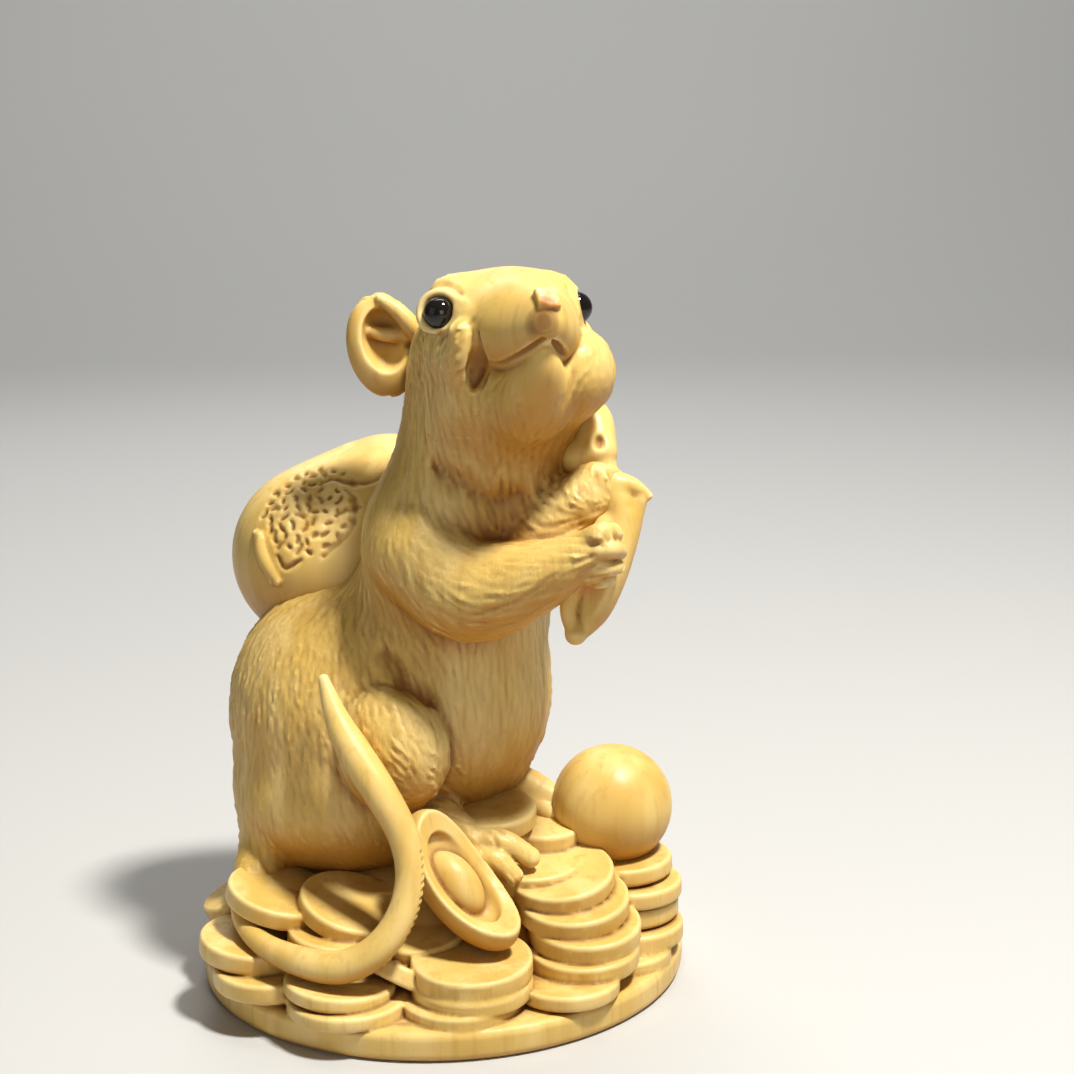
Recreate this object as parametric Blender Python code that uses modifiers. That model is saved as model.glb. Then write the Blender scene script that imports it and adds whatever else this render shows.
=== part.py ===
"""A boxwood mouse with a sack on its back, carved in one piece with the coins that it sits on.

The frame is in metres, +Z up, with its origin in the middle of the base's underside. The mouse's head
looks along -Y. The base, the coins, the ball and the eyes have sizes of their own. The figure is drawn
in millimetres at its real height, and FIGURE_SCALE carries it to another height.
"""

import math

import bmesh
import bpy
from mathutils import Matrix, Vector

MM = 0.001

# Driving sizes, in millimetres
HEIGHT = 72.8
BASE_DIAMETER = 50.0
BASE_THICKNESS = 3.0
BASE_ROUNDING = 0.8
COIN_DIAMETER = 11.0
COIN_THICKNESS = 2.2
COIN_ROUNDING = 0.35
BALL_DIAMETER = 12.4
EYE_DIAMETER = 3.1
EYE_CLEARANCE = 0.3

# How deep neighbours are bedded in one another, so that all is one piece of wood
COIN_BEDDING = 0.2
BALL_BEDDING = 0.3

# A coin's core is this much of its diameter
CORE_SHARE = 0.55

# How fine the carved surface is
GRAIN = 0.5
SOFTENING_ROUNDS = 5
CARVED_SHARE = 0.035

# The figure is drawn for this height over this base, and the heap for this base
DRAWN_HEIGHT = 72.8
DRAWN_BASE_THICKNESS = 3.0
DRAWN_BASE_RADIUS = 25.0
FIGURE_SCALE = (HEIGHT - BASE_THICKNESS) / (DRAWN_HEIGHT - DRAWN_BASE_THICKNESS)
HEAP_SCALE = BASE_DIAMETER / 2 / DRAWN_BASE_RADIUS

# The head's own frame lies midway between the eyes: x to the nose, y to the mouse's left, z up
BETWEEN_EYES = Vector((8.4, -11.0, 68.8))
HEAD_HEADING = -71
HEAD_PITCH = 30
NEAR_EYE = (0.0, -7.1, 0.0)
FAR_EYE = (-0.3, 6.4, 0.1)

BODY_HEADING = -28


def turned(heading=0.0, pitch=0.0, roll=0.0):
    """A rotation: roll about x, then the x end raised by pitch, then heading about z, in degrees."""
    about_z = Matrix.Rotation(math.radians(heading), 3, "Z")
    about_y = Matrix.Rotation(math.radians(-pitch), 3, "Y")
    about_x = Matrix.Rotation(math.radians(roll), 3, "X")
    return about_z @ about_y @ about_x


BODY = turned(BODY_HEADING)
HEAD = turned(HEAD_HEADING, HEAD_PITCH)
SIDES = (1, -1)


def on_head(x, y, z):
    """A point of the head's frame, as the figure is drawn."""
    return BETWEEN_EYES + HEAD @ Vector((x, y, z))


def placed(point):
    """A drawn point of the figure, in metres."""
    x, y, z = point
    height = BASE_THICKNESS + (z - DRAWN_BASE_THICKNESS) * FIGURE_SCALE
    return Vector((x * FIGURE_SCALE, y * FIGURE_SCALE, height)) * MM


def through(points, steps=5):
    """A smooth run (Catmull-Rom) through rows of x, y, z and radius."""
    rows = [Vector(row) for row in points]
    rows = [2 * rows[0] - rows[1], *rows, 2 * rows[-1] - rows[-2]]
    run = []
    for before, start, end, after in zip(rows, rows[1:], rows[2:], rows[3:]):
        for step in range(steps):
            t = step / steps
            line = 2 * start + (end - before) * t
            bend = (2 * before - 5 * start + 4 * end - after) * t**2
            twist = (3 * start - before - 3 * end + after) * t**3
            run.append((line + bend + twist) / 2)
    run.append(rows[-2])
    return run


class Mass:
    """Rounded forms that overlap, gathered in one mesh."""

    def __init__(self):
        self.mesh = bmesh.new()

    def ball(self, centre, radii, rotation=None, sides=36):
        """An ellipsoid, drawn in millimetres."""
        size = Matrix.Diagonal([radius * FIGURE_SCALE * MM for radius in radii])
        rotation = rotation or Matrix.Identity(3)
        round_form = sphere_mesh(1, sides)
        round_form.transform(Matrix.Translation(placed(centre)) @ (rotation @ size).to_4x4())
        self.mesh.from_mesh(round_form)
        bpy.data.meshes.remove(round_form)

    def limb(self, *points):
        """A tapering round limb through rows of x, y, z and radius."""
        curve = bpy.data.curves.new("limb", "CURVE")
        curve.dimensions = "3D"
        curve.bevel_depth = 1
        curve.bevel_resolution = 6
        curve.use_fill_caps = True
        run = through(points)
        spline = curve.splines.new("POLY")
        spline.points.add(len(run) - 1)
        for knot, (x, y, z, radius) in zip(spline.points, run):
            knot.co = (*placed((x, y, z)), 1)
            knot.radius = radius * FIGURE_SCALE * MM
        self.mesh.from_mesh(mesh_of(curve))
        bpy.data.curves.remove(curve)
        for x, y, z, radius in (points[0], points[-1]):
            self.ball((x, y, z), (radius, radius, radius))

    def ring(self, centre, half_length, half_width, thickness, rotation):
        """An oval ring of round section, lying in the local xy plane."""
        curve = bpy.data.curves.new("ring", "CURVE")
        curve.dimensions = "3D"
        curve.bevel_depth = thickness * FIGURE_SCALE * MM
        curve.bevel_resolution = 2
        spline = curve.splines.new("POLY")
        count = 32
        spline.points.add(count - 1)
        spline.use_cyclic_u = True
        for index, knot in enumerate(spline.points):
            angle = math.tau * index / count
            out = Vector((half_length * math.cos(angle), half_width * math.sin(angle), 0))
            knot.co = (*placed(Vector(centre) + rotation @ out), 1)
        self.mesh.from_mesh(mesh_of(curve))
        bpy.data.curves.remove(curve)

    def make(self, name, collection):
        """The object of this mass, as one skin over all its forms."""
        bmesh.ops.remove_doubles(self.mesh, verts=self.mesh.verts, dist=1e-7)
        made = new_object(name, self.mesh, collection)
        skin = made.modifiers.new("Skin", "REMESH")
        skin.mode = "VOXEL"
        skin.voxel_size = GRAIN * MM
        return made


def sphere_mesh(radius, sides):
    """A sphere with that many sides round its equator."""
    mesh = bmesh.new()
    bmesh.ops.create_uvsphere(mesh, u_segments=sides, v_segments=sides // 2, radius=radius)
    data = bpy.data.meshes.new("sphere")
    mesh.to_mesh(data)
    mesh.free()
    return data


def mesh_of(curve):
    """A curve as a closed mesh."""
    holder = bpy.data.objects.new("holder", curve)
    bpy.context.scene.collection.objects.link(holder)
    graph = bpy.context.evaluated_depsgraph_get()
    mesh = bpy.data.meshes.new_from_object(holder.evaluated_get(graph))
    bpy.data.objects.remove(holder)
    return mesh


def new_object(name, mesh, collection):
    """Turns a bmesh into an object of that collection."""
    data = bpy.data.meshes.new(name)
    mesh.to_mesh(data)
    mesh.free()
    made = bpy.data.objects.new(name, data)
    collection.objects.link(made)
    return made


def new_collection(name):
    collection = bpy.data.collections.new(name)
    bpy.context.scene.collection.children.link(collection)
    return collection


def new_material(name, colour, roughness):
    material = bpy.data.materials.new(name)
    material.use_nodes = True
    shader = material.node_tree.nodes["Principled BSDF"]
    shader.inputs["Base Color"].default_value = (*colour, 1)
    shader.inputs["Roughness"].default_value = roughness
    shader.inputs["Metallic"].default_value = 0
    return material


def torso(mass):
    """The pear of rump, belly and chest, and the neck."""
    mass.ball((-9.2, 1.5, 26.8), (12.8, 12.5, 14.3), BODY)
    mass.ball((-9.6, 0.8, 19.5), (12.0, 12.4, 9.0), BODY)
    mass.ball((-4.0, 0.8, 28.5), (12.6, 11.9, 14.6), BODY)
    mass.ball((0.4, 0.0, 29.5), (11.5, 11.0, 13.5), BODY)
    mass.limb((-2.0, 1.0, 34.0, 11.6), (2.0, -0.5, 42.0, 10.2), (4.6, -3.0, 49.5, 9.3), (6.4, -5.0, 59.0, 8.8))


def skull(mass):
    """Skull, cheeks, brows, muzzle and nose. The far cheek is fuller and hangs lower than the near one."""
    mass.ball(on_head(-5.8, 0, -1.2), (9.3, 8.8, 6.6), HEAD)
    mass.ball(on_head(-1.8, 0, 0.3), (5.6, 6.3, 4.3), HEAD)
    mass.ball(on_head(-3.6, -4.8, -4.6), (6.2, 3.9, 3.6), HEAD @ turned(12))
    mass.ball(on_head(-0.8, 4.6, -6.6), (4.9, 4.3, 4.6), HEAD)
    mass.ball(on_head(-5.0, 0, -7.0), (6.0, 7.5, 5.0), HEAD)
    mass.ball(on_head(0.8, 0, -5.9), (5.0, 4.0, 3.0), HEAD @ turned(0, 12))
    mass.limb((*on_head(-1, 0, -1.8), 5.4), (*on_head(6.0, 0, -3.9), 2.6))
    mass.limb((*on_head(7.3, 0, -3.6), 1.3), (*on_head(7.3, 0, -5.0), 0.7))
    for side in SIDES:
        mass.ball(on_head(-0.8, 5.5 * side, 2.9), (3.2, 2.0, 1.5), HEAD)
        mass.ball(on_head(3.7, 2.8 * side, -3.9), (4.9, 2.3, 2.6), HEAD @ turned(-25 * side))


def ear_places():
    """Where each ear sits and which way its cup faces. The near ear stands out, the far one lies back."""
    near = Vector((-4.4, -3.0, 64.9)), turned(-78, 8, 6)
    far = on_head(-11.5, 8.3, 0.5), HEAD @ turned(110, 20)
    return near, far


def ears(mass):
    for centre, facing in ear_places():
        mass.ball(centre, (2.4, 3.9, 5.3), facing)


def arms(mass):
    """Both arms reach up to the neck of the sack."""
    mass.ball((-0.8, -6.5, 46.0), (7.3, 6.0, 8.0), turned(-20, -20))
    mass.limb((-0.5, -8.0, 46.0, 6.0), (4.0, -11.5, 42.3, 5.4), (9.6, -14.5, 43.8, 3.8), (13.8, -16.2, 46.0, 2.6))
    mass.ball((15.3, -16.3, 46.6), (2.3, 1.7, 2.4), turned(0, 20))
    for height, reach, thickness in ((48.9, 16.4, 0.95), (47.5, 17.3, 1.0), (46.0, 17.4, 1.0), (44.5, 16.3, 0.9)):
        knuckle = (14.6, -16.8, (height + 46.6) / 2, thickness)
        mass.limb(knuckle, (reach - 0.7, -17.0, height, thickness), (reach + 0.9, -15.2, height - 0.3, thickness))
    mass.limb((9.0, 4.0, 46.0, 5.0), (12.2, 0.0, 47.0, 4.2), (14.2, -5.0, 49.5, 3.2), (16.4, -9.0, 51.6, 2.4))
    for height, reach in ((54.0, 17.4), (52.9, 17.9)):
        mass.limb((15.6, -9.8, height - 0.3, 0.9), (reach, -10.6, height, 0.9), (reach + 0.8, -9.2, height, 0.8))


def legs(mass):
    """Haunches, and feet that lie on the coins, with three toes on the near one."""
    mass.ball((-3.6, -10.0, 26.2), (5.8, 4.6, 6.4), BODY)
    mass.ball((5.2, 8.7, 26.2), (5.8, 4.6, 6.4), BODY)
    mass.limb((-1.5, -8.0, 19.0, 2.6), (2.5, -7.0, 16.0, 2.2), (6.5, -8.3, 14.3, 1.7))
    for toe in (-1, 0, 1):
        start = (5.6 + 0.3 * toe, -7.6 - 1.2 * toe, 14.6, 1.05)
        mass.limb(start, (8.2, -8.6 - 1.5 * toe, 14.2, 0.95), (9.6, -9.4 - 1.6 * toe, 12.6, 0.7))
    mass.limb((3.5, 3.0, 17.5, 2.8), (8.0, 0.5, 17.6, 2.6), (10.8, -1.5, 17.2, 2.3))


def tail(mass):
    """It leaves the rump low down, sweeps over the coins and rises to a point on the haunch."""
    mass.limb(
        (-19.0, -9.0, 10.0, 2.3),
        (-16.7, -15.5, 8.8, 2.1),
        (-12.7, -19.5, 8.4, 2.0),
        (-8.7, -21.5, 8.7, 1.95),
        (-4.9, -21.8, 10.6, 1.8),
        (-2.6, -20.8, 13.7, 1.6),
        (-1.9, -20.0, 16.7, 1.45),
        (-2.6, -19.0, 20.0, 1.45),
        (-4.7, -18.2, 24.0, 1.6),
        (-7.3, -16.4, 27.4, 1.6),
        (-9.2, -14.4, 30.6, 1.2),
        (-10.7, -12.8, 34.0, 0.6),
    )


def sack(mass):
    """The full sack, its neck drawn over the far shoulder, and its mouth hanging from the hands."""
    mass.ball((-12.2, 7.5, 42.0), (9.8, 9.3, 9.6), turned(-35))
    mass.ball((-8.6, 8.0, 43.8), (9.8, 9.0, 9.6), turned(-35))
    mass.ball((-5.0, 8.5, 45.5), (9.3, 8.3, 9.0), turned(-35))
    mass.limb(
        (-1.0, 9.0, 48.0, 7.5),
        (3.0, 9.0, 51.0, 5.4),
        (9.5, 6.0, 54.5, 3.4),
        (13.6, 0.0, 56.5, 2.5),
        (15.2, -5.5, 57.8, 2.2),
        (15.8, -8.6, 55.0, 2.2),
    )
    mass.limb(
        (16.8, -9.5, 53.6, 1.6),
        (18.0, -10.8, 50.0, 1.9),
        (17.2, -12.0, 45.0, 2.0),
        (15.9, -12.8, 41.0, 1.7),
        (14.2, -13.0, 38.6, 1.0),
    )
    mass.limb((18.3, -10.5, 51.0, 1.6), (20.9, -11.0, 50.9, 0.5))
    mass.ball((13.9, -13.2, 38.2), (1.05, 1.05, 1.05))


def ingot(mass):
    """A boat-shaped ingot: a hull, its rim and the dome inside the rim."""
    centre = Vector((2.6, -18.5, 15.2))
    lie = turned(-58, -38, -35)
    mass.ball(centre - lie @ Vector((0, 0, 1.6)), (7.2, 3.6, 3.2), lie)
    mass.ring(centre, 6.0, 3.2, 0.75, lie)
    mass.ball(centre, (4.0, 2.3, 2.6), lie)


def mound(mass):
    """The core of the heap, under and behind the coins that show."""
    wide = HEAP_SCALE / FIGURE_SCALE
    mass.ball((-2.5 * wide, 3.0 * wide, 3.0), (20.0 * wide, 19.5 * wide, 11.5))
    mass.ball((-1.0 * wide, 0.5 * wide, 3.0), (21.0 * wide, 20.5 * wide, 7.5))


def hollows(collection):
    """What is carved away: the ears' cups and the gap in the sack's neck."""
    for centre, facing in ear_places():
        cup = Mass()
        cup.ball(centre + facing @ Vector((1.9, -0.2, 0.2)), (2.9, 2.7, 3.9), facing, 18)
        new_object("cup", cup.mesh, collection)
    gap = Mass()
    gap.ball((16.4, -10.8, 56.3), (0.6, 1.2, 0.8), sides=10)
    new_object("gap", gap.mesh, collection)


# A coin's middle x and y on the drawn base, its top in coins above the base, which way it slopes and how much
BALL_STACK = (19.2, -3.8, 3.73, 0, 0)
COINS = (
    (12.4, -7.2, 4.64, 0, 3),
    (13.9, -8.6, 3.64, 0, 2),
    (15.1, -10.4, 2.64, 0, 2),
    (15.0, -13.0, 1.64, 0, 0),
    (13.0, -15.2, 0.64, 0, 0),
    BALL_STACK,
    (19.3, -5.0, 2.73, 0, 0),
    (18.8, -4.6, 1.73, 0, 0),
    (19.2, -5.6, 0.73, 0, 0),
    (3.9, -18.0, 2.64, 0, 0),
    (4.1, -18.4, 1.64, 0, 0),
    (2.9, -18.8, 0.64, 0, 0),
    (5.3, -7.4, 5.5, 0, 0),
    (9.6, -1.6, 5.45, 0, 0),
    (-15.6, -12.0, 4.0, 225, -16),
    (-8.7, -13.6, 3.73, 250, -18),
    (-10.8, -15.0, 2.5, 240, -6),
    (-17.6, -11.5, 2.45, 200, -8),
    (-17.4, -11.0, 1.45, 0, 0),
    (-9.0, -18.4, 1.64, 0, 0),
    (-8.8, -18.8, 0.64, 0, 0),
    (-2.6, -16.0, 2.1, 230, 30),
)


def round_block(name, diameter, thickness, sides, collection, rounding=0.0):
    """A cylinder whose top is at its origin, with rounded rims."""
    mesh = bmesh.new()
    bmesh.ops.create_cone(
        mesh,
        cap_ends=True,
        segments=sides,
        radius1=diameter / 2 * MM,
        radius2=diameter / 2 * MM,
        depth=thickness * MM,
        matrix=Matrix.Translation((0, 0, -thickness / 2 * MM)),
    )
    if rounding:
        rims = [edge for edge in mesh.edges if any(len(face.verts) > 4 for face in edge.link_faces)]
        bmesh.ops.bevel(mesh, geom=rims, offset=rounding * MM, segments=1, affect="EDGES")
    return new_object(name, mesh, collection)


def coins(collection):
    """The coins, each over a core that fills the heap under it."""
    for x, y, layer, heading, slope in COINS:
        thickness = COIN_THICKNESS + COIN_BEDDING
        coin = round_block("coin", COIN_DIAMETER, thickness, 16, collection, COIN_ROUNDING)
        height = BASE_THICKNESS + layer * COIN_THICKNESS
        coin.location = Vector((x * HEAP_SCALE, y * HEAP_SCALE, height)) * MM
        coin.rotation_euler = turned(heading, slope).to_euler()
        low, high = BASE_THICKNESS / 2, height - COIN_THICKNESS / 2
        core = round_block("core", COIN_DIAMETER * CORE_SHARE, high - low, 12, collection)
        core.location = coin.location.x, coin.location.y, high * MM


def base(collection):
    """The round plinth."""
    rounding = min(BASE_ROUNDING, BASE_THICKNESS / 3)
    plinth = round_block("base", BASE_DIAMETER, BASE_THICKNESS, 60, collection, rounding)
    plinth.location.z = BASE_THICKNESS * MM


def globe(name, diameter, place, sides, collection):
    """A sphere of that diameter in millimetres, at a place in metres."""
    made = bpy.data.objects.new(name, sphere_mesh(diameter / 2 * MM, sides))
    made.location = place
    collection.objects.link(made)
    return made


def wooden_ball(collection):
    """The ball that lies on the stack of coins at the right."""
    radius = BALL_DIAMETER / 2
    stack_x, stack_y, stack_top = BALL_STACK[:3]
    height = BASE_THICKNESS + stack_top * COIN_THICKNESS + radius - BALL_BEDDING
    place = Vector(((stack_x - 1.5) * HEAP_SCALE, (stack_y + 1.8) * HEAP_SCALE, height)) * MM
    globe("ball", BALL_DIAMETER, place, 22, collection)


def eyes(collection, material):
    """Inlaid glass beads."""
    for name, place in (("eye_right", NEAR_EYE), ("eye_left", FAR_EYE)):
        eye = globe(name, EYE_DIAMETER, placed(on_head(*place)), 16, collection)
        eye.data.shade_smooth()
        eye.data.materials.append(material)


def sockets(collection):
    for place in (NEAR_EYE, FAR_EYE):
        globe("socket", EYE_DIAMETER + 2 * EYE_CLEARANCE, placed(on_head(*place)), 16, collection)


def floor_cutter(collection):
    """Takes off what the mound reaches below the middle of the base."""
    mesh = bmesh.new()
    depth = 40
    middle = Matrix.Translation((0, 0, (BASE_THICKNESS / 2 - depth / 2) * MM))
    size = Matrix.Diagonal((BASE_DIAMETER * 2 * MM, BASE_DIAMETER * 2 * MM, depth * MM, 1))
    bmesh.ops.create_cube(mesh, size=1, matrix=middle @ size)
    new_object("floor", mesh, collection)


def boolean(target, name, operation, collection):
    modifier = target.modifiers.new(name, "BOOLEAN")
    modifier.operation = operation
    modifier.solver = "EXACT"
    modifier.operand_type = "COLLECTION"
    modifier.collection = collection


def carving(parts):
    """The whole carving but its eyes, as one solid."""
    mass = Mass()
    for form in (torso, skull, ears, arms, legs, tail, sack, ingot, mound):
        form(mass)
    carved = mass.make("carving", parts)

    soften = carved.modifiers.new("Soften", "SMOOTH")
    soften.iterations = round(SOFTENING_ROUNDS)
    thin = carved.modifiers.new("Facets", "DECIMATE")
    thin.ratio = CARVED_SHARE

    removed = new_collection("hollows")
    hollows(removed)
    sockets(removed)
    floor_cutter(removed)
    boolean(carved, "Hollows", "DIFFERENCE", removed)

    heap = new_collection("heap")
    base(heap)
    coins(heap)
    wooden_ball(heap)
    boolean(carved, "Heap", "UNION", heap)

    mesh = bmesh.new()
    graph = bpy.context.evaluated_depsgraph_get()
    mesh.from_object(carved, graph)
    fill_pockets(mesh)
    carved.modifiers.clear()
    mesh.to_mesh(carved.data)
    mesh.free()
    for group in (removed, heap):
        for helper in list(group.objects):
            bpy.data.objects.remove(helper)
        bpy.data.collections.remove(group)
    return carved


def fill_pockets(mesh):
    """Makes solid any pocket that is sealed in between the coins. Its skin faces inwards."""
    unseen = set(mesh.faces)
    while unseen:
        skin = {unseen.pop()}
        edge_faces = list(skin)
        while edge_faces:
            face = edge_faces.pop()
            near = {other for edge in face.edges for other in edge.link_faces} - skin
            skin |= near
            edge_faces += near
        unseen -= skin
        volume = sum(face.normal.dot(face.calc_center_median()) * face.calc_area() for face in skin)
        if volume < 0:
            bmesh.ops.delete(mesh, geom=list(skin), context="FACES")


def main():
    for old in list(bpy.data.objects):
        bpy.data.objects.remove(old)
    parts = new_collection("carved mouse")
    boxwood = new_material("boxwood", (0.74, 0.56, 0.27), 0.5)
    glass = new_material("black glass", (0.01, 0.01, 0.012), 0.06)
    carving(parts).data.materials.append(boxwood)
    eyes(parts, glass)


main()
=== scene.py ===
import math

import bpy
import numpy as np
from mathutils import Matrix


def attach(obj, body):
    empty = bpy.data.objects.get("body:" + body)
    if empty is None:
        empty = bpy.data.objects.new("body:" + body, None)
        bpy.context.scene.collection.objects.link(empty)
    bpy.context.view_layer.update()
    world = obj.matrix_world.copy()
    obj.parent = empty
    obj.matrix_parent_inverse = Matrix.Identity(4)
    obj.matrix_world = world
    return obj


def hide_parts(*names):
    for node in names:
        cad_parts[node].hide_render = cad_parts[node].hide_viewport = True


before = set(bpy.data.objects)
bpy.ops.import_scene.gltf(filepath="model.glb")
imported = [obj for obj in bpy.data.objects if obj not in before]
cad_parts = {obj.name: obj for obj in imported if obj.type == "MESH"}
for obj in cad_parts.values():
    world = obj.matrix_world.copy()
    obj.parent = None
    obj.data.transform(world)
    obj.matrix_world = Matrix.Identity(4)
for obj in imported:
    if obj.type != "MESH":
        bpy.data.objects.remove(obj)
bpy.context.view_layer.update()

import openvdb
from mathutils import Matrix, Vector

# A mouse carved from boxwood, which sits on a heap of coins with a sack on its back.
# Lengths are in millimetres until a mesh is made. X is to the right in the photograph,
# Y away from the camera and Z up, from the middle of the base's underside.

VOXEL = 0.2
FINE_VOXEL = 0.15
MOST_TRIANGLES = 185_000
SHARP_ANGLE = math.radians(70)
FAR = 6.0
TINY = 1e-9
METRES = 0.001
DICE = np.random.default_rng(11)


# Turning and blending

def turn(yaw=0.0, pitch=0.0, roll=0.0):
    """Columns are forward, left and up: roll about forward, nose up by pitch, then yaw about up."""
    a, b, c = (math.radians(angle) for angle in (yaw, pitch, roll))
    about_up = np.array([[math.cos(a), -math.sin(a), 0], [math.sin(a), math.cos(a), 0], [0, 0, 1]])
    about_left = np.array([[math.cos(b), 0, -math.sin(b)], [0, 1, 0], [math.sin(b), 0, math.cos(b)]])
    about_forward = np.array([[1, 0, 0], [0, math.cos(c), -math.sin(c)], [0, math.sin(c), math.cos(c)]])
    return about_up @ about_left @ about_forward


def smooth_min(a, b, reach):
    """The lesser of two distances, blended where they differ by less than reach."""
    near = np.maximum(reach - np.abs(a - b), 0) / reach
    return np.minimum(a, b) - near * near * reach * 0.25


def through(points, steps):
    """A smooth line through the rows of points, whose last column may be a radius."""
    ends = np.vstack([2 * points[0] - points[1], points, 2 * points[-1] - points[-2]])
    line = []
    for a, b, c, d in zip(ends, ends[1:], ends[2:], ends[3:]):
        for t in np.arange(steps) / steps:
            line.append(0.5 * (2 * b + (c - a) * t + (2 * a - 5 * b + 4 * c - d) * t * t
                               + (3 * b - a - 3 * c + d) * t ** 3))
    line.append(points[-1])
    return np.array(line)


def unit(rows):
    """Each row at length one."""
    return rows / (np.linalg.norm(rows, axis=-1, keepdims=True) + TINY)


# Shapes that know the distance to their own surface

class Ball:
    """An ellipsoid."""

    def __init__(self, centre, radii, turned=np.eye(3)):
        self.centre = np.array(centre, float)
        self.radii = np.broadcast_to(np.array(radii, float), 3)
        self.turned = turned
        reach = np.sqrt(turned ** 2 @ self.radii ** 2)
        self.low, self.high = self.centre - reach, self.centre + reach

    def local(self, x, y, z):
        x, y, z = x - self.centre[0], y - self.centre[1], z - self.centre[2]
        return [axis[0] * x + axis[1] * y + axis[2] * z for axis in self.turned.T]

    def distance(self, x, y, z):
        along = self.local(x, y, z)
        q = np.sqrt(sum((a / r) ** 2 for a, r in zip(along, self.radii)))
        slope = np.sqrt(sum((a / r ** 2) ** 2 for a, r in zip(along, self.radii)) + TINY)
        return q * (q - 1) / slope


class Block(Ball):
    """A box with rounded edges."""

    def __init__(self, centre, halves, rounding, turned=np.eye(3)):
        super().__init__(centre, np.array(halves) * math.sqrt(3), turned)
        self.halves, self.rounding = halves, rounding

    def distance(self, x, y, z):
        over = [np.abs(a) - (h - self.rounding) for a, h in zip(self.local(x, y, z), self.halves)]
        outside = np.sqrt(sum(np.maximum(o, 0) ** 2 for o in over))
        return outside + np.minimum(np.maximum(np.maximum(over[0], over[1]), over[2]), 0) - self.rounding


class Disc(Ball):
    """A round plate with rounded edges, thick along its own up."""

    def __init__(self, centre, radius, thickness, rounding, turned=np.eye(3)):
        # An ellipsoid this wide holds the whole plate
        wide = radius * 1.42
        super().__init__(centre, (wide, wide, thickness), turned)
        self.radius, self.half, self.rounding = radius, thickness / 2, rounding

    def distance(self, x, y, z):
        a, b, c = self.local(x, y, z)
        out = np.sqrt(a ** 2 + b ** 2) - (self.radius - self.rounding)
        up = np.abs(c) - (self.half - self.rounding)
        outside = np.sqrt(np.maximum(out, 0) ** 2 + np.maximum(up, 0) ** 2)
        return np.minimum(np.maximum(out, up), 0) + outside - self.rounding


class Limb:
    """Round cones along a smooth line of (x, y, z, radius)."""

    def __init__(self, points, steps=6):
        points = np.array(points, float)
        line = through(points, steps) if len(points) > 2 else points
        self.bones = list(zip(line, line[1:]))
        self.low = (line[:, :3] - line[:, 3:]).min(axis=0)
        self.high = (line[:, :3] + line[:, 3:]).max(axis=0)

    def distance(self, x, y, z):
        nearest = None
        for a, b in self.bones:
            d = b - a
            px, py, pz = x - a[0], y - a[1], z - a[2]
            t = np.clip((px * d[0] + py * d[1] + pz * d[2]) / (d[:3] @ d[:3]), 0, 1)
            away = np.sqrt((px - t * d[0]) ** 2 + (py - t * d[1]) ** 2 + (pz - t * d[2]) ** 2)
            away -= a[3] + d[3] * t
            nearest = away if nearest is None else np.minimum(nearest, away)
        return nearest


# Clay is a grid of distances that shapes are added to and cut from

class Clay:
    def __init__(self, low, high, voxel):
        self.low, self.voxel = np.array(low, float), voxel
        self.size = np.ceil((np.array(high, float) - self.low) / voxel).astype(int) + 1
        self.depth = np.full(self.size, FAR, np.float32)
        self.axes = [(self.low[i] + voxel * np.arange(self.size[i])).astype(np.float32) for i in range(3)]

    def window(self, low, high, margin):
        first = np.floor((low - margin - self.low) / self.voxel).astype(int)
        last = np.ceil((high + margin - self.low) / self.voxel).astype(int) + 1
        cells = tuple(slice(a, b) for a, b in zip(np.clip(first, 0, self.size), np.clip(last, 0, self.size)))
        return cells, np.ix_(*(axis[cell] for axis, cell in zip(self.axes, cells)))

    def add(self, shape, blend=0.5, margin=2.0):
        cells, at = self.window(shape.low, shape.high, max(margin, blend))
        self.depth[cells] = smooth_min(self.depth[cells], shape.distance(*at).astype(np.float32), blend)

    def cut(self, shape, blend=0.3, margin=1.0):
        cells, at = self.window(shape.low, shape.high, max(margin, blend))
        self.depth[cells] = -smooth_min(-self.depth[cells], shape.distance(*at).astype(np.float32), blend)

    def merge(self, other, blend):
        """Joins another clay on the same grid, blended by a function of the place."""
        at = np.ix_(*self.axes)
        self.depth = smooth_min(self.depth, other.depth, blend(*at).astype(np.float32))

    def polygons(self, outside=-FAR):
        """The surface's points in millimetres, its triangles and its quads, less what lies outside."""
        band = 3 * self.voxel
        grid = openvdb.FloatGrid(background=band)
        grid.copyFromArray(np.clip(np.maximum(self.depth, outside), -band, band))
        points, triangles, quads = grid.convertToPolygons(isovalue=0.0)
        return np.array(points, float) * self.voxel + self.low, triangles, quads

    def read(self, field, points):
        """A field of the same grid at these points, straight between the grid's points."""
        place = np.clip((points - self.low) / self.voxel, 0, self.size - 1.001)
        cell = place.astype(int)
        part = place - cell
        found = np.zeros(len(points))
        for corner in np.ndindex(2, 2, 2):
            share = np.prod(np.where(corner, part, 1 - part), axis=1)
            found += share * field[tuple((cell + corner).T)]
        return found

    def outward(self, points):
        """The directions out of the clay at these points."""
        step = self.voxel
        slopes = [self.read(self.depth, points + step * axis) - self.read(self.depth, points - step * axis)
                  for axis in np.eye(3)]
        return unit(np.array(slopes).T)

    def blurred(self, reach):
        """The field averaged over a cube of this half width."""
        cells = max(1, round(reach / self.voxel))
        field = np.clip(self.depth, -3 * reach, 3 * reach)
        for axis in range(3):
            sums = np.cumsum(field, axis=axis, dtype=np.float64)
            after = np.take(sums, np.minimum(np.arange(self.size[axis]) + cells, self.size[axis] - 1), axis)
            before = np.take(sums, np.maximum(np.arange(self.size[axis]) - cells - 1, 0), axis)
            field = ((after - before) / (2 * cells + 1)).astype(np.float32)
        return field


def linked(name, mesh):
    piece = bpy.data.objects.new(name, mesh)
    bpy.context.scene.collection.objects.link(piece)
    return piece


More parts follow.
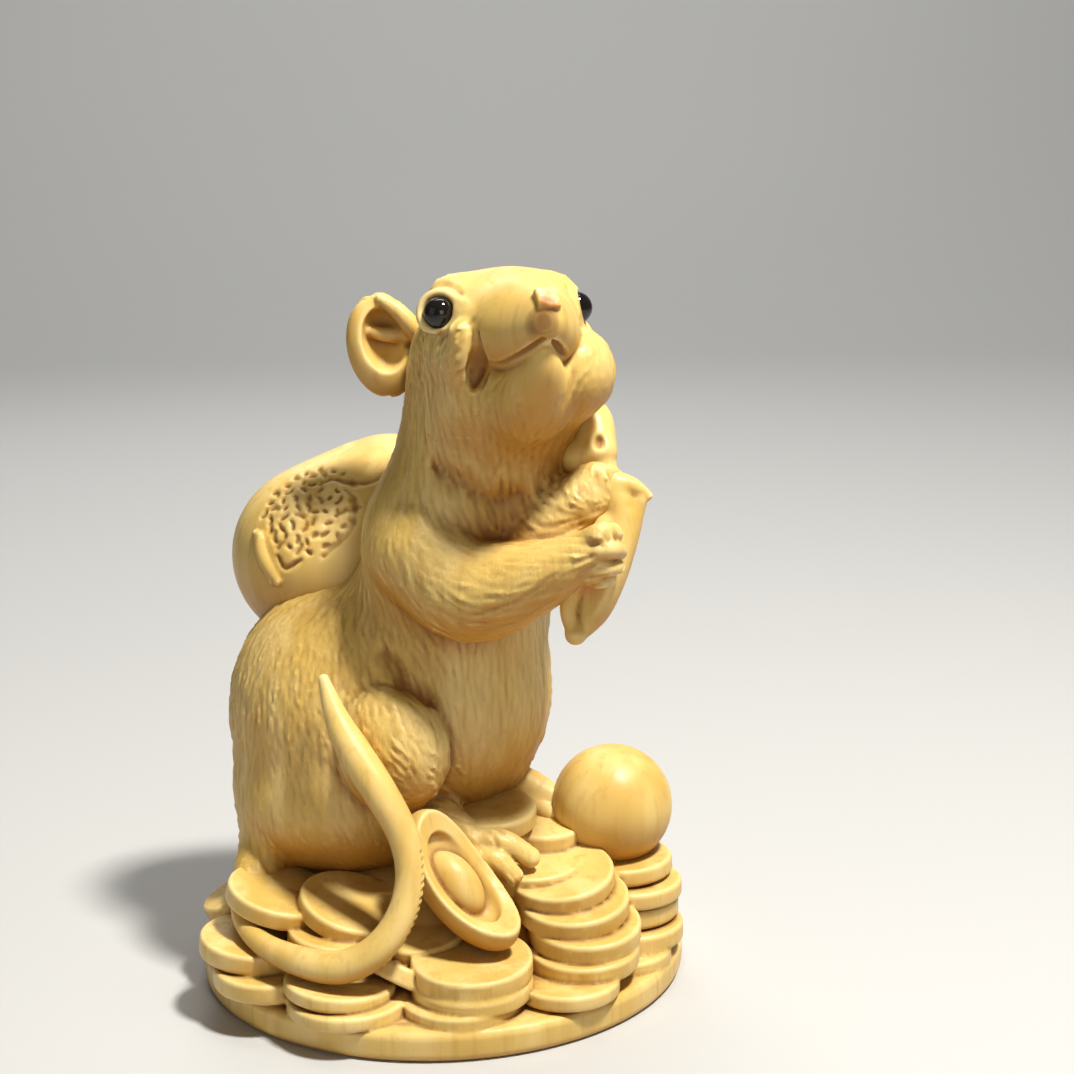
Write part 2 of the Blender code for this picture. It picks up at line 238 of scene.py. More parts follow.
def paint(mesh, label, amounts):
    mesh.attributes.new(label, "FLOAT", "POINT").data.foreach_set("value", amounts.astype(np.float32))


# Each kind of hollow and how far round a point it is looked for; the wood paints shade into them, and a
# highlight where the finest one finds a ridge
HOLLOWS = (("crease", 0.4), ("hollow", 1.6), ("valley", 4.0))


def cast(clay, name, outside=-FAR):
    """The clay as a mesh in metres, with its hollows and its named places as attributes."""
    points, triangles, quads = clay.polygons(outside)
    mesh = bpy.data.meshes.new(name)
    mesh.vertices.add(len(points))
    mesh.vertices.foreach_set("co", (points * METRES).astype(np.float32).ravel())
    corners = np.concatenate([triangles[:, ::-1].ravel(), quads[:, ::-1].ravel()]).astype(np.int32)
    mesh.loops.add(len(corners))
    mesh.loops.foreach_set("vertex_index", corners)
    mesh.polygons.add(len(triangles) + len(quads))
    starts = np.concatenate([np.arange(len(triangles)) * 3, len(triangles) * 3 + np.arange(len(quads)) * 4])
    mesh.polygons.foreach_set("loop_start", starts.astype(np.int32))
    mesh.update(calc_edges=True)
    piece = linked(name, mesh)
    share = MOST_TRIANGLES / (len(triangles) + 2 * len(quads))
    if share < 1:
        fewer = piece.modifiers.new("Fewer faces", "DECIMATE")
        fewer.ratio = share
        graph = bpy.context.evaluated_depsgraph_get()
        piece.data = bpy.data.meshes.new_from_object(piece.evaluated_get(graph))
        piece.data.name = name
        piece.modifiers.clear()
    mesh = piece.data
    mesh.shade_smooth()
    mesh.set_sharp_from_angle(angle=SHARP_ANGLE)
    places = np.empty(len(mesh.vertices) * 3, np.float32)
    mesh.vertices.foreach_get("co", places)
    places = places.reshape(-1, 3) / METRES
    for label, reach in HOLLOWS:
        paint(mesh, label, -clay.read(clay.blurred(reach), places) / reach)
    for label, patches in (("polish", SMOOTH), ("blush", BLUSH)):
        amount = np.zeros(len(places))
        for centre, radius in patches:
            # Full within 0.6 of the radius and none past 1.1 of it
            away = np.linalg.norm(places - np.array(centre), axis=1) / radius
            amount = np.maximum(amount, np.clip(2.2 - 2 * away, 0, 1))
        paint(mesh, label, amount)
    return piece


def settled(clay, points):
    """Points moved on to the clay's surface, and the directions out of it there."""
    points = np.array(points, float)
    for _ in range(4):
        normals = clay.outward(points)
        points = points - normals * clay.read(clay.depth, points)[:, None]
    return points, clay.outward(points)


def tapered(clay, points, radius):
    """A smooth line over the surface, the directions out of it and its sizes, thinner at its ends."""
    line, normals = settled(clay, through(np.array(points, float), 4))
    return line, normals, radius * np.sin(np.linspace(0.35, math.pi - 0.35, len(line))) ** 0.5


def carve(clay, points, radius, depth, blend=0.15):
    """A groove of this depth along a line over the surface."""
    line, normals, sizes = tapered(clay, points, radius)
    line = line + normals * (sizes - depth)[:, None]
    clay.cut(Limb(np.column_stack([line, sizes]), 1), blend, 0.5)


def raised(clay, points, radius, height, blend=0.4):
    """A ridge of this height along a line over the surface."""
    line, normals, sizes = tapered(clay, points, radius)
    line = line - normals * (sizes - height)[:, None]
    clay.add(Limb(np.column_stack([line, sizes]), 1), blend, 0.5)


STROKE_TRIES = 90_000
STROKE_SPACING = 0.6
STROKE_SCATTER = 0.13
STROKE_LENGTHS = (0.3, 0.65)
STROKE_DEPTHS = (0.9, 1.9)
STROKE_RADII = (0.2, 0.32)
END_SIZE = 0.85
END_DEPTH = 0.8
# A stroke whose ends face further away from its middle than this crosses a crease
SAME_FACING = 0.7


def furrow(clay, guides, smooth_places):
    """Chisel strokes over the surface, which follow the guides nearest to them."""
    points = clay.polygons()[0]
    points = points[DICE.choice(len(points), min(STROKE_TRIES, len(points)), replace=False)]
    cells = (points / STROKE_SPACING).astype(int)
    points = points[np.unique(cells, axis=0, return_index=True)[1]]
    for centre, radius in smooth_places:
        away = np.linalg.norm(points - centre, axis=1)
        points = points[away > radius * DICE.uniform(0.85, 1.05, len(points))]
    normals = clay.outward(points)
    places, ways, lengths, depths = (np.array(column, float) for column in zip(*guides))
    weights = 1 / (np.linalg.norm(points[:, None] - places, axis=2) ** 4 + 1)
    weights /= weights.sum(axis=1, keepdims=True)
    way = unit(weights @ unit(ways)) + DICE.normal(0, STROKE_SCATTER, points.shape)
    way = unit(way - normals * (way * normals).sum(axis=1, keepdims=True))
    way *= (weights @ lengths * DICE.uniform(*STROKE_LENGTHS, len(points)))[:, None]
    depth = (weights @ depths * DICE.uniform(*STROKE_DEPTHS, len(points)))[:, None]
    radius = DICE.uniform(*STROKE_RADII, (len(points), 1))
    starts, start_normals = settled(clay, points - way)
    ends, end_normals = settled(clay, points + way)
    even = (start_normals * normals).sum(axis=1) > SAME_FACING
    even &= (end_normals * normals).sum(axis=1) > SAME_FACING
    thin, shallow = END_SIZE * radius, END_DEPTH * depth
    strokes = np.stack([np.hstack([starts + start_normals * (thin - shallow), thin]),
                        np.hstack([points + normals * (radius - depth), radius]),
                        np.hstack([ends + end_normals * (thin - shallow), thin])], axis=1)
    for stroke in strokes[even]:
        clay.cut(Limb(stroke, 1), 0.12, 0.3)


# The head, in its own frame: forward to the nose, left and up from between the eyes

BETWEEN_EYES = np.array([8.4, -11.0, 68.8])
HEAD = turn(-71, 30)
BODY = turn(-28)
NEAR_EYE = (0, -7.1, 0)
FAR_EYE = (-0.3, 6.4, 0.1)
EYE_RADIUS = 1.55


def on_head(point):
    return BETWEEN_EYES + HEAD @ np.array(point[:3], float)


def head_limb(*points):
    return Limb([(*on_head(p), p[3]) for p in points])


def head_ball(centre, radii, turned=np.eye(3)):
    return Ball(on_head(centre), radii, HEAD @ turned)


def skull(clay):
    # Crown, brow, far cheek and throat
    clay.add(head_ball((-5.8, 0, -1.4), (9.3, 8.6, 6.3)), 2.0)
    clay.add(head_limb((-0.9, -5.2, 1.8, 2.45), (-0.7, 0, 1.35, 2.8), (-0.9, 4.5, 1.7, 2.45)), 1.2)
    clay.add(head_ball((-1.0, 4.9, -6.2), (4.6, 4.2, 4.6)), 1.0)
    clay.add(head_ball((-5.0, 0, -7.0), (6.0, 7.5, 5.0)), 2.5)
    # Lower jaw
    clay.add(head_limb((5.9, 0, -7.0, 0.9), (4.0, 0.2, -7.8, 1.9), (1.6, 0.2, -8.2, 3.0),
                       (-1.5, 0.2, -8.6, 4.4)), 1.0)
    # Near cheek, a fold that ends in a straight front edge
    clay.add(head_ball((-3.2, -5.2, -3.5), (4.6, 2.9, 3.7)), 0.6)
    clay.add(head_limb((1.5, -5.9, -2.9, 1.3), (0.2, -5.9, -4.4, 1.5), (-1.6, -5.6, -5.8, 1.6)), 0.7)


def muzzle(clay):
    clay.add(head_limb((-1.5, 0, -0.9, 4.6), (2.4, 0, -1.9, 3.7), (5.6, 0, -3.0, 2.3),
                       (7.7, 0, -3.5, 1.2)), 1.0)
    for side in (-1, 1):
        clay.add(head_limb((7.0, 0.3 * side, -5.0, 0.9), (5.2, 0.9 * side, -4.7, 1.9),
                           (3.0, 1.6 * side, -3.9, 2.9), (1.0, 2.1 * side, -3.0, 3.0)), 3.2)
    # Nose, a small block that tapers down to the lips
    clay.add(Block(on_head((8.15, 0, -3.6)), (1.5, 1.08, 1.1), 0.2, HEAD @ turn(0, 10)), 0.12)
    clay.add(head_limb((8.0, 0, -4.0, 0.85), (7.8, 0, -5.9, 0.4)), 0.4)


def lips(x, y, z):
    """How softly the muzzle joins the head: crisp round the mouth and soft above."""
    up = sum(axis * (p - o) for axis, p, o in zip(HEAD[:, 2], (x, y, z), BETWEEN_EYES))
    return np.clip(0.12 + (up + 3.2) * 1.1, 0.12, 2.4)


def mouth(clay):
    clay.cut(head_limb((7.9, -0.2, -6.3, 0.2), (7.3, -0.7, -6.5, 0.3), (6.0, -1.5, -6.8, 0.32),
                       (4.1, -2.5, -6.9, 0.35), (2.4, -3.3, -6.7, 0.45), (1.3, -4.3, -5.9, 0.4)), 0.15)
    clay.cut(head_limb((7.9, 0.0, -6.3, 0.2), (6.8, 0.9, -6.7, 0.34), (4.9, 2.2, -6.9, 0.34),
                       (3.5, 3.3, -7.0, 0.15)), 0.15)
    # The hollow between the muzzle and the near cheek
    clay.cut(head_limb((3.2, -4.9, -3.5, 0.25), (2.2, -4.8, -4.9, 0.7), (0.8, -4.7, -5.9, 1.05),
                       (-0.1, -4.9, -7.0, 0.8)), 0.15)


def lid(eye, facing, size, first, last, thick, thin):
    """Part of a ring round an eye, between two angles from the side nearer the nose."""
    side = 1 if eye[1] < 0 else -1
    facing = np.array(facing, float) / np.linalg.norm(facing)
    inward = np.cross((0, 0, 1), facing) * side
    inward /= np.linalg.norm(inward)
    up = np.cross(facing, inward) * side
    middle = np.array(eye) + facing * 0.3
    angles = np.radians(np.linspace(first, last, 9))
    sizes = thin + (thick - thin) * np.sin(np.linspace(0, math.pi, 9))
    return head_limb(*((*(middle + size * (math.cos(a) * inward + math.sin(a) * up)), r)
                       for a, r in zip(angles, sizes)))


def lids(clay):
    # Flesh round the near eye's inner corner, and in front of the far eye
    clay.add(head_limb((1.3, -5.3, -0.4, 0.8), (2.1, -4.5, -1.4, 0.7)), 0.8)
    clay.add(head_limb((1.0, 5.0, 1.5, 0.75), (1.3, 5.1, 0.0, 0.9), (1.6, 5.0, -1.6, 0.8)), 0.5)
    for eye in (NEAR_EYE, FAR_EYE):
        clay.cut(head_ball(eye, EYE_RADIUS + 0.12), 0.15)
    facing = (0.80, -0.58, -0.12)
    clay.add(lid(NEAR_EYE, facing, 1.88, -35, 215, 0.42, 0.28), 0.25)
    clay.add(lid(NEAR_EYE, facing, 1.80, 180, 345, 0.30, 0.24), 0.5)
    clay.add(head_limb((1.5, -5.7, 0.6, 0.4), (2.3, -5.0, -0.6, 0.36), (2.8, -4.5, -1.6, 0.2)), 0.25)
    clay.cut(lid(NEAR_EYE, facing, 2.7, 22, 150, 0.28, 0.06), 0.35)
    clay.add(lid(FAR_EYE, (0.45, 0.88, 0), 1.80, -60, 240, 0.32, 0.22), 0.2)


def ear(clay, side):
    if side < 0:
        centre, facing = np.array([-4.2, -3.4, 65.0]), turn(-74, 6, 8)
    else:
        centre, facing = on_head((-11.5, 8.3, 0.5)), HEAD @ turn(110, 20)

    def at(x, y, z, *radius):
        return (*(centre + facing @ np.array([x, y * -side, z])), *radius)

    clay.add(Ball(centre - facing[:, 0] * 0.6, (1.9, 3.7, 5.2), facing), 0.5)
    clay.cut(Ball(at(1.6, -0.2, 0.6), (2.8, 2.25, 3.3), facing), 0.3)
    # The front rim folds in over the cup, and a low ridge crosses it above a slit
    clay.add(Limb([at(0.6, 0.2, 4.5, 0.5), at(1.1, 1.7, 2.9, 0.8), at(1.3, 2.7, 1.2, 0.95),
                   at(1.0, 3.4, -0.4, 0.8)]), 0.3)
    clay.add(Limb([at(-0.7, -1.2, 1.6, 0.5), at(-0.5, 0.2, 1.0, 0.7), at(-0.2, 1.8, 0.6, 0.7)]), 0.4)
    clay.cut(Limb([at(-0.4, -0.8, 0.0, 0.2), at(0.2, 0.8, -0.3, 0.32), at(0.8, 2.3, -0.4, 0.3)]), 0.2)


# The body

def torso(clay):
    clay.add(Ball((-9.2, 1.5, 26.8), (12.8, 12.5, 14.3), BODY), 0.1)
    clay.add(Ball((-9.6, 0.8, 19), (12.0, 12.4, 9), BODY), 2)
    clay.add(Ball((0.4, 0, 29.5), (11.5, 11.0, 13.5), BODY), 4)
    clay.add(Ball((2.4, -0.5, 42), (9.6, 10, 11), BODY), 4)
    clay.add(Limb([(4.6, -3, 49, 9.4), (6.4, -5.0, 59, 8.8)]), 3)


def collar(clay):
    """The crease where the neck meets the near shoulder."""
    carve(clay, [(0.5, -12.4, 54.2), (1.9, -12.4, 53.2), (3.2, -12.7, 52.5), (4.7, -12.8, 51.5),
                 (6.5, -12.6, 50.9), (8.6, -12.2, 51.2)], 0.9, 0.6, 0.9)


def arms(clay):
    clay.add(Ball((-0.2, -6.3, 46.5), (6.6, 5.8, 7.6), turn(-20, -20)), 3.0)
    clay.add(Limb([(-0.6, -8.2, 45.6, 5.8), (4.0, -11.5, 42.3, 5.4), (9.6, -14.5, 43.8, 3.8),
                   (13.6, -16.0, 46, 2.5)]), 0.5)
    clay.add(Limb([(9, 4, 46, 5), (12.5, 1, 46.5, 3.8), (14.8, -5, 49.5, 2.7), (16.4, -9, 51.4, 2.1)]), 1)
    # Near hand
    clay.add(Ball((15.0, -16.4, 46.7), (2.6, 1.8, 2.4), turn(pitch=20)), 0.6)
    for fingers in (((14.8, -16.6, 47.8, 1.2), (16.2, -17.2, 48.8, 1.15), (17.6, -15.8, 48.4, 0.9)),
                    ((15.2, -17.2, 46.9, 1.1), (17.0, -17.3, 47.2, 1.0), (18.0, -15.6, 46.6, 0.8)),
                    ((14.8, -17.0, 45.6, 1.1), (16.8, -17.0, 45.3, 0.8), (17.9, -15.4, 45.1, 0.7)),
                    ((14.2, -16.8, 44.8, 1.0), (15.9, -16.8, 44.1, 0.75), (17.1, -15.4, 43.9, 0.65))):
        clay.add(Limb(fingers), 0.2)
    # Far forearm and fist, round the neck of the sack
    clay.add(Limb([(7.5, -8.5, 44.5, 3.2), (11.4, -10.0, 47.6, 3.2), (14.6, -10.6, 50.4, 2.9)]), 1.2)
    clay.add(Ball((16.4, -10.2, 51.6), (2.9, 2.3, 3.2), turn(pitch=25)), 1.0)
    for wrinkle in (((15.4, -12.3, 53.1), (16.9, -12.0, 53.4), (18.4, -11.0, 53.4)),
                    ((13.2, -12.8, 51.6), (16.4, -12.0, 52.4), (18.3, -11.4, 52.6)),
                    ((12.6, -13.2, 50.9), (15.4, -12.6, 51.8), (18.2, -11.6, 52.2)),
                    ((12.2, -13.3, 50.0), (15.4, -13.1, 51.0), (18.1, -11.9, 51.6)),
                    ((11.6, -13.3, 49.2), (14.6, -13.2, 50.0), (17.0, -12.4, 50.8)),
                    ((11.2, -13.3, 48.4), (14.2, -13.4, 49.2), (16.5, -12.8, 50.0)),
                    ((10.6, -13.0, 47.4), (13.2, -13.4, 48.2), (15.2, -13.0, 48.8))):
        carve(clay, wrinkle, 0.26, 0.2)
    # Wrinkles along the near forearm
    for down in np.linspace(-1.6, 2.2, 6):
        carve(clay, [(4.5, -17, 38.8 + down), (8.8, -18, 40.4 + down), (12.6, -18, 43.4 + down)], 0.28, 0.2)


def legs(clay):
    clay.add(Ball((-4.4, -9.6, 26.0), (6.5, 4.8, 6.9), turn(-28)), 0.2)
    clay.add(Ball((5.2, 8.7, 26.0), (6.5, 4.8, 6.9), turn(-28)), 0.2)
    # A fold above the near haunch
    carve(clay, [(-5.2, -11, 36.0), (-3.6, -11, 34.2), (-2.6, -11, 32.4), (-0.6, -11, 30.6)], 0.6, 0.3, 1.0)
    # Near foot and its toes
    clay.add(Limb([(0.5, -8.5, 17.8, 2.6), (3.6, -10.6, 16.6, 1.9)]), 0.6)
    for toe in (((3.4, -11.0, 16.8, 1.3), (6.6, -11.4, 16.7, 1.2), (9.2, -11.8, 15.2, 1.05)),
                ((3.2, -11.8, 15.9, 1.1), (5.8, -12.8, 15.4, 1.15), (7.6, -13.2, 13.8, 1.0)),
                ((2.6, -12.0, 15.0, 1.0), (4.2, -13.4, 14.2, 1.0), (5.6, -14.0, 12.8, 0.8))):
        clay.add(Limb(toe), 0.3)
    # Far foot
    clay.add(Limb([(3.5, 3, 17.6, 2.8), (8.4, 0.2, 18.5, 2.1), (12.4, -1.6, 17.4, 1.2)]), 0.6)
    clay.add(Limb([(8.8, -1.0, 17.6, 1.2), (11.4, -2.8, 16.6, 0.9)]), 0.4)


# Places kept smooth, and places painted a redder brown: middle and radius

SMOOTH = [
    (on_head((4.5, 0, -3.8)), 6.2),
    (on_head((0.5, 0, 2.5)), 5.4),
    (on_head((-3, 0, 3.5)), 4.5),
    (on_head((3.2, -3.6, 0.5)), 4.0),
    (np.array([-4.2, -4.4, 65.0]), 5.6),
    (on_head((-11.5, 8.3, 0.5)), 5.0),
    (np.array([16.5, -16.4, 46.4]), 2.6),
    (on_head((1.8, -4.2, -5.2)), 2.5),
    (on_head((1.0, -7.0, 0.8)), 3.4),
    (on_head((4.0, 0, -8.4)), 3.4),
    (on_head((0.5, 6.4, 0)), 2.6),
    (np.array([7.5, -9.5, 14.5]), 4.5),
    (np.array([9.0, -1, 17.5]), 4.5),
]
BLUSH = [(on_head((9.6, 0, -3.7)), 1.2), ((15.2, -15, 43.0), 1.6)]

# What the strokes elsewhere follow: place, direction, length and depth

GUIDES = [
    (on_head((-5, -8, -3)), (0.2, 0, -1), 0.7, 0.16),
    (on_head((0.6, -7, -3.8)), (-0.7, 0, -0.7), 0.8, 0.13),
    (on_head((-12, 0, 3)), (-0.6, 0.6, -0.5), 1.4, 0.10),
    (on_head((3, 0, -9.5)), (-0.3, 0.2, -1), 1.5, 0.06),
    (on_head((2, 6.5, -6)), (-0.5, 0.2, -1), 1.4, 0.06),
    ((2, -13, 60), (0.05, 0, -1), 3.4, 0.17),
    ((9, -14, 58), (0, 0, -1), 3.4, 0.17),
    ((6, -13.5, 52), (0.1, 0, -1), 3.4, 0.18),
    ((14, -9, 56), (0.1, 0, -1), 2.2, 0.15),
    ((-6, -4, 52), (-0.2, 0, -1), 1.6, 0.10),
    ((-6, -12, 48), (0.1, -0.1, -1), 1.6, 0.10),
    ((-4, -13, 42), (0.3, -0.2, -1), 1.8, 0.14),
    ((1, -16, 39), (0.8, -0.2, -0.6), 2.0, 0.15),
    ((6, -17, 38), (1, -0.2, 0.0), 2.4, 0.16),
    ((10, -18, 42), (0.9, -0.2, 0.45), 2.4, 0.14),
    ((4, -16, 46), (0.7, -0.2, -0.3), 1.6, 0.08),
    ((13, -8, 48), (0.5, -0.3, 0.6), 2.0, 0.14),
    ((-15, -6, 38), (-0.1, 0, -1), 1.2, 0.11),
    ((-19, -4, 30), (0, 0, -1), 1.2, 0.13),
    ((-12, -11, 30), (0.1, 0, -1), 1.2, 0.13),
    ((-14, -10, 20), (0.25, 0, -1), 1.8, 0.09),
    ((-7, -13, 18), (0.35, 0, -0.9), 1.8, 0.08),
    ((-6, -14, 28), (0.5, 0, -0.9), 1.3, 0.15),
    ((-2, -14, 26), (0.6, 0, -0.9), 1.3, 0.15),
    ((-3, -13, 22), (0.9, 0, -0.4), 1.3, 0.13),
    ((6, -11, 34), (0, 0, -1), 2.8, 0.13),
    ((6, -10, 27), (0, 0, -1), 2.8, 0.13),
    ((-8, 14, 26), (0, 0, -1), 1.5, 0.12),
    ((8, 12, 30), (0, 0, -1), 1.5, 0.12),
]

FIGURE_SPACE = ((-26, -21, 7), (24, 21, 74))
# The head and the body are two meshes that overlap a little here
NECK = 57.0
LAP = 0.5


def tail_root(clay):
    clay.add(Limb([(-15, -1, 19, 4.0), (-18.0, -5, 13.5, 2.8), (-19.4, -9.5, 10.2, 1.8)]), 2.0)


def figure():
    clay = Clay(*FIGURE_SPACE, VOXEL)
    torso(clay)
    skull(clay)
    snout = Clay(*FIGURE_SPACE, VOXEL)
    muzzle(snout)
    clay.merge(snout, lips)
    mouth(clay)
    lids(clay)
    for side in (-1, 1):
        ear(clay, side)
    tail_root(clay)
    legs(clay)
    arms(clay)
    collar(clay)
    furrow(clay, GUIDES, SMOOTH)
    height = clay.axes[2]
    return [cast(clay, "head", NECK - LAP - height), cast(clay, "body", height - NECK - LAP)]


# The tail as (x, y, z, radius), and where along it the notches are

TAIL = ((-19.4, -8.5, 10.6, 1.5), (-19.2, -13.0, 9.6, 0.9), (-16.6, -16.8, 8.6, 1.15),
        (-12.6, -19.6, 8.0, 1.45), (-8.8, -21.2, 8.1, 1.6), (-5.4, -21.6, 9.8, 1.55),
        (-3.0, -20.8, 12.8, 1.45), (-2.1, -19.4, 16.3, 1.4), (-2.7, -18.0, 19.8, 1.5),
        (-4.8, -16.8, 23.6, 1.65), (-7.2, -15.2, 27.0, 1.65), (-9.1, -13.6, 30.2, 1.2),
        (-10.4, -12.2, 33.7, 0.55))
NOTCHES = range(51, 93, 2)
NOTCH_RADIUS = 0.16


def tail():
    clay = Clay((-23, -25, 5), (2, -5, 36), FINE_VOXEL)
    clay.add(Limb(TAIL, 8), 0.1)
    line = through(np.array(TAIL), 12)
    # Small notches along its outer side, where it turns up
    for notch in NOTCHES:
        way = (line[notch + 1] - line[notch - 1])[:3]
        way /= np.linalg.norm(way)
        out = np.cross((0, -1, 0), way)
        edge = line[notch][:3] - out * line[notch][3] + (0, -0.3, 0)
        ends = edge + (0, -0.5, 0), edge + (0, 0.6, 0)
        clay.cut(Limb([(*end, NOTCH_RADIUS) for end in ends]), 0.1, 0.3)
    return cast(clay, "tail")


# The sack

PANEL = ((-13.2, -0.5, 49.2), 5.4)
PIT_SPACING = 0.95
PIT_DEPTH = 0.32


def stipple(clay, centre, radius, spacing):
    """Small pits and short bent strokes over a round patch."""
    points = clay.polygons()[0]
    points = points[np.linalg.norm(points - np.array(centre), axis=1) < radius]
    DICE.shuffle(points)
    taken = []
    for point in points:
        if taken and np.min(np.linalg.norm(np.array(taken) - point, axis=1)) < spacing:
            continue
        taken.append(point)
        normal = clay.outward(point[None])[0]
        way = DICE.normal(0, 1, 3)
        way -= normal * (way @ normal)
        way *= DICE.uniform(0.15, 0.5) / np.linalg.norm(way)
        bend = np.cross(normal, way) * DICE.uniform(-0.6, 0.6)
        size = DICE.uniform(0.24, 0.36)
        middle = point + normal * (size - PIT_DEPTH)
        stroke = [(*(middle - way), size), (*(middle + bend), size), (*(middle + way), size * 0.9)]
        clay.cut(Limb(stroke, 2), 0.15, 0.4)


def sack():
    clay = Clay((-24, -18, 27), (24, 21, 62), VOXEL)
    clay.add(Ball((-12.2, 7.5, 42.0), (9.8, 9.3, 9.6), turn(-35)), 0.1)
    clay.add(Ball((-5.0, 8.5, 45.5), (9.3, 8.3, 9.0), turn(-35)), 4)
    clay.add(Limb([(3, 9, 51, 5.0), (9.5, 6, 54.0, 3.6), (13.4, 0, 56.2, 3.0), (15.6, -6, 57.6, 2.2),
                   (16.3, -9, 55.0, 1.9)]), 2)
    clay.add(Limb([(12.0, -4, 54.8, 2.6), (14.6, -8.4, 54.4, 2.0)]), 0.8)
    clay.cut(Ball((16.4, -11.0, 56.3), (0.7, 1.3, 0.9)), 0.2)
    # The panel's raised border, a bent stroke and pits, and folds beside it
    raised(clay, [(-18.6, 1, 45.6), (-18.2, 0, 43.4), (-16.9, -1, 41.0)], 0.9, 0.45, 0.15)
    raised(clay, [(-17.8, 1, 45.2), (-17.4, 0, 43.4), (-16.0, -1, 41.0)], 0.9, 0.45, 0.15)
    carve(clay, [(-19.2, 1, 45.4), (-18.9, 0, 43.2), (-17.6, -1, 40.6)], 0.3, 0.3)
    carve(clay, [(-16.0, -1, 43.6), (-15.0, -1, 42.4), (-13.4, -1, 43.2)], 0.3, 0.3)
    stipple(clay, *PANEL, PIT_SPACING)
    carve(clay, [(-9.4, -1, 52.0), (-8.2, -1, 49.8), (-8.4, -1.5, 46.4), (-11.2, -1.5, 43.6)], 0.4, 0.3, 0.3)
    carve(clay, [(-10.4, 1, 52.6), (-7.4, 0, 52.0), (-4.6, 0, 53.2)], 0.45, 0.4, 0.3)
    # The open mouth hangs from the far hand: two edges, the hollow between them and a knob
    clay.add(Limb([(16.8, -9.8, 53.0, 1.5), (18.4, -11.2, 49.6, 1.7), (17.6, -12.6, 45.4, 1.8),
                   (16.2, -13.2, 41.4, 1.5), (14.8, -13.4, 39.2, 1.0)]), 0.6)
    clay.add(Limb([(20.2, -11.2, 50.6, 0.7), (19.2, -11.6, 47.6, 0.9), (17.8, -12.4, 43.6, 0.9),
                   (16.3, -13.2, 40.2, 0.8), (14.6, -13.6, 38.6, 0.8)]), 0.5)
    clay.add(Limb([(15.4, -13.0, 46.5, 1.5), (14.0, -13.6, 43.6, 1.2), (13.2, -14.0, 40.6, 0.8),
                   (13.7, -14.0, 38.6, 0.7)]), 0.5)
    clay.add(Limb([(18.2, -10.6, 52.0, 1.3), (19.6, -10.9, 51.8, 0.9), (21.0, -11.0, 51.0, 0.45)]), 0.3)
    clay.cut(Limb([(18.9, -13.2, 50.6, 0.5), (19.6, -12.8, 50.4, 0.5)]), 0.2)
    clay.add(Limb([(17.0, -11.8, 48.0, 1.6), (15.8, -12.6, 43.6, 1.5), (14.8, -12.8, 40.6, 1.1)]), 0.4)
    clay.cut(Limb([(16.4, -15.2, 44.6, 0.8), (15.5, -15.2, 42.4, 0.9), (14.8, -15.2, 40.6, 0.6)]), 0.6)
    clay.add(Ball((13.9, -14.0, 38.3), 1.05), 0.3)
    return cast(clay, "sack")


# The heap: a base, coins, an ingot and a ball

BASE = (25.0, 3.0, 0.8)
COIN_EDGE = 0.35
COINS = (
    # Middle, radius and thickness, then which way is uphill and how steep
    ((12.2, -10.2, 12.5), 5.4, 2.0, 75, 13),
    ((13.4, -11.4, 10.3), 5.6, 2.1, 85, 11),
    ((14.5, -12.3, 8.0), 5.6, 2.1, 95, 8),
    ((14.3, -13.0, 5.8), 5.6, 2.0, 90, 5),
    ((12.6, -16.4, 4.0), 5.2, 1.6, 90, 0),
    ((18.6, -3.4, 11.4), 5.2, 1.8, 0, 2),
    ((19.2, -4.4, 9.4), 5.5, 1.8, 0, 0),
    ((18.8, -4.0, 7.3), 5.6, 2.0, 0, 0),
    ((19.2, -5.2, 5.1), 5.6, 2.0, 0, 0),
    ((18.0, -7.6, 3.4), 5.4, 1.6, 0, 0),
    ((3.5, -17.9, 6.7), 5.9, 2.0, 90, 4),
    ((3.5, -18.1, 4.8), 5.9, 1.7, 90, 2),
    ((2.4, -18.7, 3.4), 5.8, 1.6, 0, 0),
    ((5.3, -6.5, 17.9), 4.6, 2.0, 90, 8),
    ((10.6, -3.6, 15.3), 4.4, 2.0, 90, 6),
    ((9.4, -8.0, 13.0), 5.4, 2.2, 90, 6),
    ((-15.6, -10.6, 11.0), 5.5, 1.9, 165, 15),
    ((-8.4, -12.4, 10.4), 5.4, 1.9, 150, 19),
    ((-9.4, -14.2, 8.3), 5.2, 1.9, 160, 5),
    ((-18.0, -12.2, 6.8), 5.6, 2.0, 170, 6),
    ((-16.4, -14.2, 4.6), 5.6, 2.0, 170, 2),
    ((-20.2, -3.4, 8.6), 4.6, 1.9, 0, 24),
    ((-19.6, -4.6, 4.6), 5.2, 2.2, 0, 8),
    ((-9.2, -18.3, 5.0), 5.4, 1.5, 200, 5),
    ((-8.4, -18.7, 3.6), 5.9, 1.5, 0, 0),
    ((-3.2, -17.6, 5.6), 3.4, 1.8, 220, 34),
    ((-2.0, -13.0, 8.0), 5.0, 2.0, 90, 10),
)
INGOT = np.array((2.4, -15.9, 14.4))
REAR_STACKS = range(20, 200, 24)
OUTER_RING = 18.6
INNER_RING = 15.0


def frame_of(forward, up):
    """Columns are forward, left and up, for a thing that points forward with its top up."""
    forward, up = np.array(forward, float), np.array(up, float)
    forward /= np.linalg.norm(forward)
    left = np.cross(up, forward)
    left /= np.linalg.norm(left)
    return np.column_stack([forward, left, np.cross(forward, left)])


